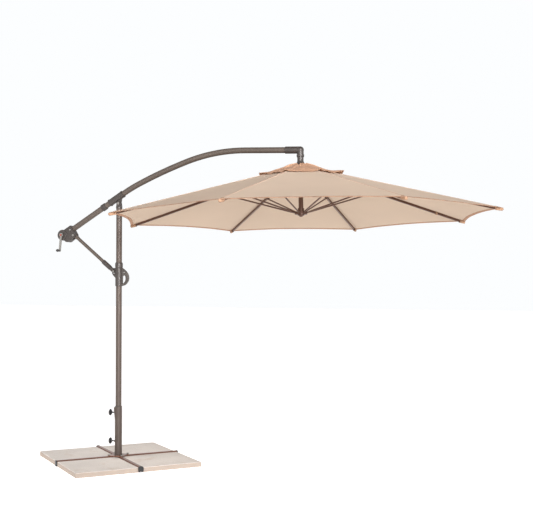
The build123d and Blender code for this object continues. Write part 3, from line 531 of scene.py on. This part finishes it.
def hem_stitch_line(inset):
    """Stitch ends along the hem, at a distance inside it."""
    line = []
    half_width = TIP_R * SIDE_PER_RADIUS
    count = int(2 * half_width / STITCH_STEP)
    for i in range(count):
        places = [(-1 + 2 * (i + t) / count) * STITCHED_SHARE for t in (0, 1)]
        line.append(tuple((hem_radius(s) - inset, s) for s in places))
    return line


def seam_stitch_line(offset):
    """Stitch ends along the rib, at a distance beside it."""
    line = []
    run = SEAM_STITCH_END - SEAM_STITCH_START
    count = int(run / STITCH_STEP)
    for i in range(count):
        ends = []
        for t in (0, 1):
            radius = SEAM_STITCH_START + run * (i + t) / count
            ends.append((radius, offset / (radius * SIDE_PER_RADIUS)))
        line.append(tuple(ends))
    return line


def seam_tape(rib):
    """Felled seam over the rib, a little proud of the cloth."""
    profile = (
        (-0.0075, 0.0003), (-0.0066, 0.0012), (-0.0022, 0.0019), (0.0022, 0.0019),
        (0.0066, 0.0012), (0.0075, 0.0003), (0.0066, -0.0009), (-0.0066, -0.0009),
    )
    rows = 60
    start, end = 0.06, hem_radius(0) - 0.002
    verts, uvs = [], []
    for i in range(rows):
        radius = start + (end - start) * i / (rows - 1)
        for offset, lift in profile:
            share = offset / (radius * SIDE_PER_RADIUS)
            verts.append(rib.place(radius, share, rib_height(radius)) + UP * lift)
            uvs.append((offset, radius))
    faces = grid_faces(rows, len(profile), closed=True)
    faces.append(tuple(range(len(profile))))
    faces.append(tuple(reversed(range((rows - 1) * len(profile), rows * len(profile)))))
    return outwards(piece(f"gore_seam_{rib.number}", verts, faces, TAPE_CLOTH, rib.body, uvs))


def cloth_sleeve(name, rib, stations, capped):
    """Cloth round the rib.

    Each station is a radius, half the width, half the height and the centre's drop.
    """
    around = 20
    verts, uvs = [], []
    for radius, half_wide, half_high, drop in stations:
        for j in range(around):
            angle = 2 * math.pi * j / around
            c, s = math.cos(angle), math.sin(angle)
            squarish = (abs(c) ** 4 + abs(s) ** 4) ** -0.25
            wrinkle = 1 + 0.05 * noise.noise(Vector((c * 2 + rib.number * 3.7, s * 2, radius * 60)))
            centre = rib.axis_point + rib.out * radius + UP * (rib_height(radius) + drop)
            side = half_wide * c * squarish * wrinkle
            rise = half_high * s * squarish * wrinkle
            verts.append(centre + rib.across * side + UP * rise)
            uvs.append((angle * 0.012, radius))
    faces = grid_faces(len(stations), around, closed=True)
    if capped:
        faces.append(tuple((len(stations) - 1) * around + j for j in range(around)))
    made = piece(name, verts, faces, POCKET_CLOTH, rib.body, uvs)
    return solid_cloth(made, POCKET_THICKNESS, 1.0)


def tip_pocket(rib):
    """Cloth pocket that holds the rib's end, open towards the hub."""
    stations = (
        (1.446, 0.0112, 0.0136, -0.0112),
        (1.448, 0.0114, 0.0138, -0.0112),
        (1.460, 0.0103, 0.0126, -0.0108),
        (1.474, 0.0099, 0.0119, -0.0104),
        (1.488, 0.0095, 0.0111, -0.0099),
        (1.496, 0.0080, 0.0088, -0.0085),
        (1.5, 0.0046, 0.0046, -0.0060),
    )
    return cloth_sleeve(f"tip_pocket_{rib.number}", rib, stations, True)


def rib_tie(rib):
    """Narrow loop of tape that ties the cloth to the rib."""
    stations = (
        (1.211, 0.0082, 0.0118, -0.0118),
        (1.213, 0.0088, 0.0126, -0.0119),
        (1.220, 0.0090, 0.0130, -0.0120),
        (1.227, 0.0088, 0.0126, -0.0119),
        (1.229, 0.0082, 0.0118, -0.0118),
    )
    return cloth_sleeve(f"rib_tie_{rib.number}", rib, stations, False)


def flap_edge(share):
    return FLAP_R - 0.016 * (1 - (1 - abs(share)) ** 2)


def flap_point(rib, radius, share, lift=0.0):
    """The vent flap lies loose: puckered at the neck, wavy at its free edge."""
    v = (radius - FLAP_INNER_R) / (FLAP_R - FLAP_INNER_R)
    base = rib.place(radius, share, rib_height(radius))
    rise = 0.021 * (1 - v) + 0.006 * v + 0.005 * math.sin(math.pi * min(1.0, v * 3.2))
    planar = base - rib.axis_point
    angle = math.atan2(planar.y, planar.x)
    around = Vector((math.cos(angle), math.sin(angle), 0.0))
    ruffle = noise.noise(around * 5.2 + Vector((0, 0, radius * 7)))
    pucker = noise.noise(around * 9.5 + Vector((0, 0, radius * 10 + 7)))
    edge = max(0.0, v - 0.45) / 0.55
    gathered = max(0.0, 1 - v / 0.75)
    tab = max(0.0, 1 - abs(share) / 0.2) * edge ** 2
    wave = ruffle * (0.018 * edge + 0.008 * gathered) + pucker * (0.010 * edge + 0.016 * gathered)
    return base + UP * (max(rise + wave + 0.012 * tab, 0.0025) + lift)


def vent_flap(rib):
    columns = shares(ACROSS_STEPS)
    rows = 26
    verts, uvs = [], []
    for i in range(rows):
        v = (i / (rows - 1)) ** 0.9
        for share in columns:
            radius = FLAP_INNER_R + (flap_edge(share) - FLAP_INNER_R) * v
            verts.append(flap_point(rib, radius, share))
            uvs.append(cloth_uv(radius, share))
    faces = grid_faces(rows, len(columns))
    made = piece(f"vent_flap_{rib.number}", verts, faces, VENT_CLOTH_PAINTED_SHADE, rib.body, uvs)
    return solid_cloth(made, CLOTH_THICKNESS)


TIED_RIB = 5
# The cloth is shaped from the rib spacing, the slope and the hem's curve, not from the mesh.
ribs = [Rib(number) for number in range(1, RIBS + 1)]
for rib in ribs:
    gore = gore_sheet(rib)
    flap = vent_flap(rib)
    hem = hem_band(f"hem_{rib.number}", rib, hem_radius, HEM_WIDTH, cloth_point, HEM_THICK)
    trim = hem_band(
        f"flap_hem_{rib.number}", rib, flap_edge, FLAP_HEM_WIDTH, flap_point, FLAP_HEM_THICK
    )
    hem_lines = [hem_stitch_line(inset) for inset in HEM_STITCH_INSETS]
    hem_thread = stitches(f"hem_stitches_{rib.number}", rib, hem_lines)
    seam = seam_tape(rib)
    seam_lines = [seam_stitch_line(offset) for offset in SEAM_STITCH_OFFSETS]
    seam_thread = stitches(f"seam_stitches_{rib.number}", rib, seam_lines)
    pocket = tip_pocket(rib)
    ties = [rib_tie(rib)] if rib.number == TIED_RIB else []
    for wide in (gore, flap, hem, trim, hem_thread):
        rib.fold_flat(wide)
    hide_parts(f"canopy_panel_{rib.number}")

# ---------------------------------------------------------------- cap on the crank's hub
RED_CAP = moulded("hub cap plastic", linear(140, 66, 54), 0.42)
CAP_R = 0.0085
CAP_GAP = 0.0002
CAP_STEPS = 28
crank = JOINTS["crank_turn"]
hub = Vector(crank["pos_m"])
cap_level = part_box("cord_spool")[0][1] + CAP_GAP
cap_verts = []
cap_profile = ((1.0, 0.0), (1.0, 0.0012), (0.92, 0.0021), (0.7, 0.0029), (0.35, 0.0034))
for share, height in cap_profile:
    for k in range(CAP_STEPS):
        turn = 2 * math.pi * k / CAP_STEPS
        reach = CAP_R * share
        cap_verts.append(
            (hub.x + reach * math.cos(turn), cap_level - height, hub.z + reach * math.sin(turn))
        )
cap_faces = grid_faces(len(cap_profile), CAP_STEPS, closed=True)
cap_faces.append(tuple(range(CAP_STEPS)))
last_ring = (len(cap_profile) - 1) * CAP_STEPS
cap_faces.append(tuple(last_ring + k for k in range(CAP_STEPS)))
hub_cap = outwards(piece("crank_hub_cap", cap_verts, cap_faces, RED_CAP, "crank"))
hub_cap.data.set_sharp_from_angle(angle=CRISP_EDGE)

# ---------------------------------------------------------------- camera
CAMERA_PLACE = Vector((3.3994, -6.6602, 1.4162))
YAW, PITCH, ROLL = math.radians(-19.16), math.radians(-0.536), math.radians(0.286)
ahead = Vector((math.sin(YAW) * math.cos(PITCH), math.cos(YAW) * math.cos(PITCH), math.sin(PITCH)))
level_right = Vector((math.cos(YAW), -math.sin(YAW), 0.0))
level_up = level_right.cross(ahead)
right = level_right * math.cos(ROLL) + level_up * math.sin(ROLL)
up = level_up * math.cos(ROLL) - level_right * math.sin(ROLL)
camera_data = bpy.data.cameras.new("camera")
camera = bpy.data.objects.new("camera", camera_data)
COLLECTION.objects.link(camera)
facing = Matrix((right, up, -ahead)).transposed().to_4x4()
camera.matrix_world = Matrix.Translation(CAMERA_PLACE) @ facing
camera_data.lens = 60.77
camera_data.shift_x = 0.0433
camera_data.shift_y = 0.0632
camera_data.clip_end = 200
bpy.context.scene.camera = camera


# ---------------------------------------------------------------- floor and light
def area_light(name, place, target, size, watts, spread, color=(1, 1, 1)):
    """Softbox with a grid: it lights only a cone of the given width."""
    data = bpy.data.lights.new(name, "AREA")
    data.shape = "SQUARE"
    data.size = size
    data.energy = watts
    data.color = color
    data.spread = math.radians(spread)
    lamp = bpy.data.objects.new(name, data)
    COLLECTION.objects.link(lamp)
    lamp.location = place
    lamp.rotation_mode = "QUATERNION"
    lamp.rotation_quaternion = (Vector(target) - Vector(place)).to_track_quat("-Z", "Y")


area_light("key", (5.9, -8.2, 3.3), (1.5, -0.3, 2.4), 4.0, 96, 28, (0.97, 0.985, 1.0))
area_light("base_key", (-2.5, -2.0, 5.5), (-0.1, -0.1, 0.0), 1.5, 5.0, 26)

# The studio is white round the horizon and dimmer and warmer overhead.
world = bpy.data.worlds.new("studio")
bpy.context.scene.world = world
world.use_nodes = True
sky = world.node_tree
background = sky.nodes["Background"]
direction = sky.nodes.new("ShaderNodeTexCoord")
parts = sky.nodes.new("ShaderNodeSeparateXYZ")
fade = sky.nodes.new("ShaderNodeValToRGB")
fade.color_ramp.elements[0].position = 0.34
fade.color_ramp.elements[0].color = (0.975, 0.99, 1.0, 1.0)
fade.color_ramp.elements[1].position = 0.75
fade.color_ramp.elements[1].color = (0.13, 0.09, 0.065, 1.0)
sky.links.new(direction.outputs["Generated"], parts.inputs["Vector"])
sky.links.new(parts.outputs["Z"], fade.inputs["Fac"])
sky.links.new(fade.outputs["Color"], background.inputs["Color"])
background.inputs["Strength"].default_value = 1.0

FLOOR_REACH = 60
FLOOR_LEVEL = -0.0006
floor_paint = Paint("pale floor", (0.93, 0.935, 0.94, 1.0), 0.7)
floor_paint.vary(0.8, 0.985, 1.01)
floor_paint.bump(floor_paint.noise(40.0, 4.0), 0.05, 0.001)
floor_paint.shader.inputs["Emission Color"].default_value = (1.0, 1.0, 1.0, 1.0)
floor_paint.shader.inputs["Emission Strength"].default_value = 0.66
floor_mesh = bpy.data.meshes.new("floor")
floor_corners = [
    (x * FLOOR_REACH, y * FLOOR_REACH, FLOOR_LEVEL) for x, y in ((-1, -1), (1, -1), (1, 1), (-1, 1))
]
floor_mesh.from_pydata(floor_corners, [], [(0, 1, 2, 3)])
floor_mesh.materials.append(floor_paint.done())
floor = bpy.data.objects.new("floor", floor_mesh)
COLLECTION.objects.link(floor)

bpy.context.scene.view_settings.view_transform = "Standard"
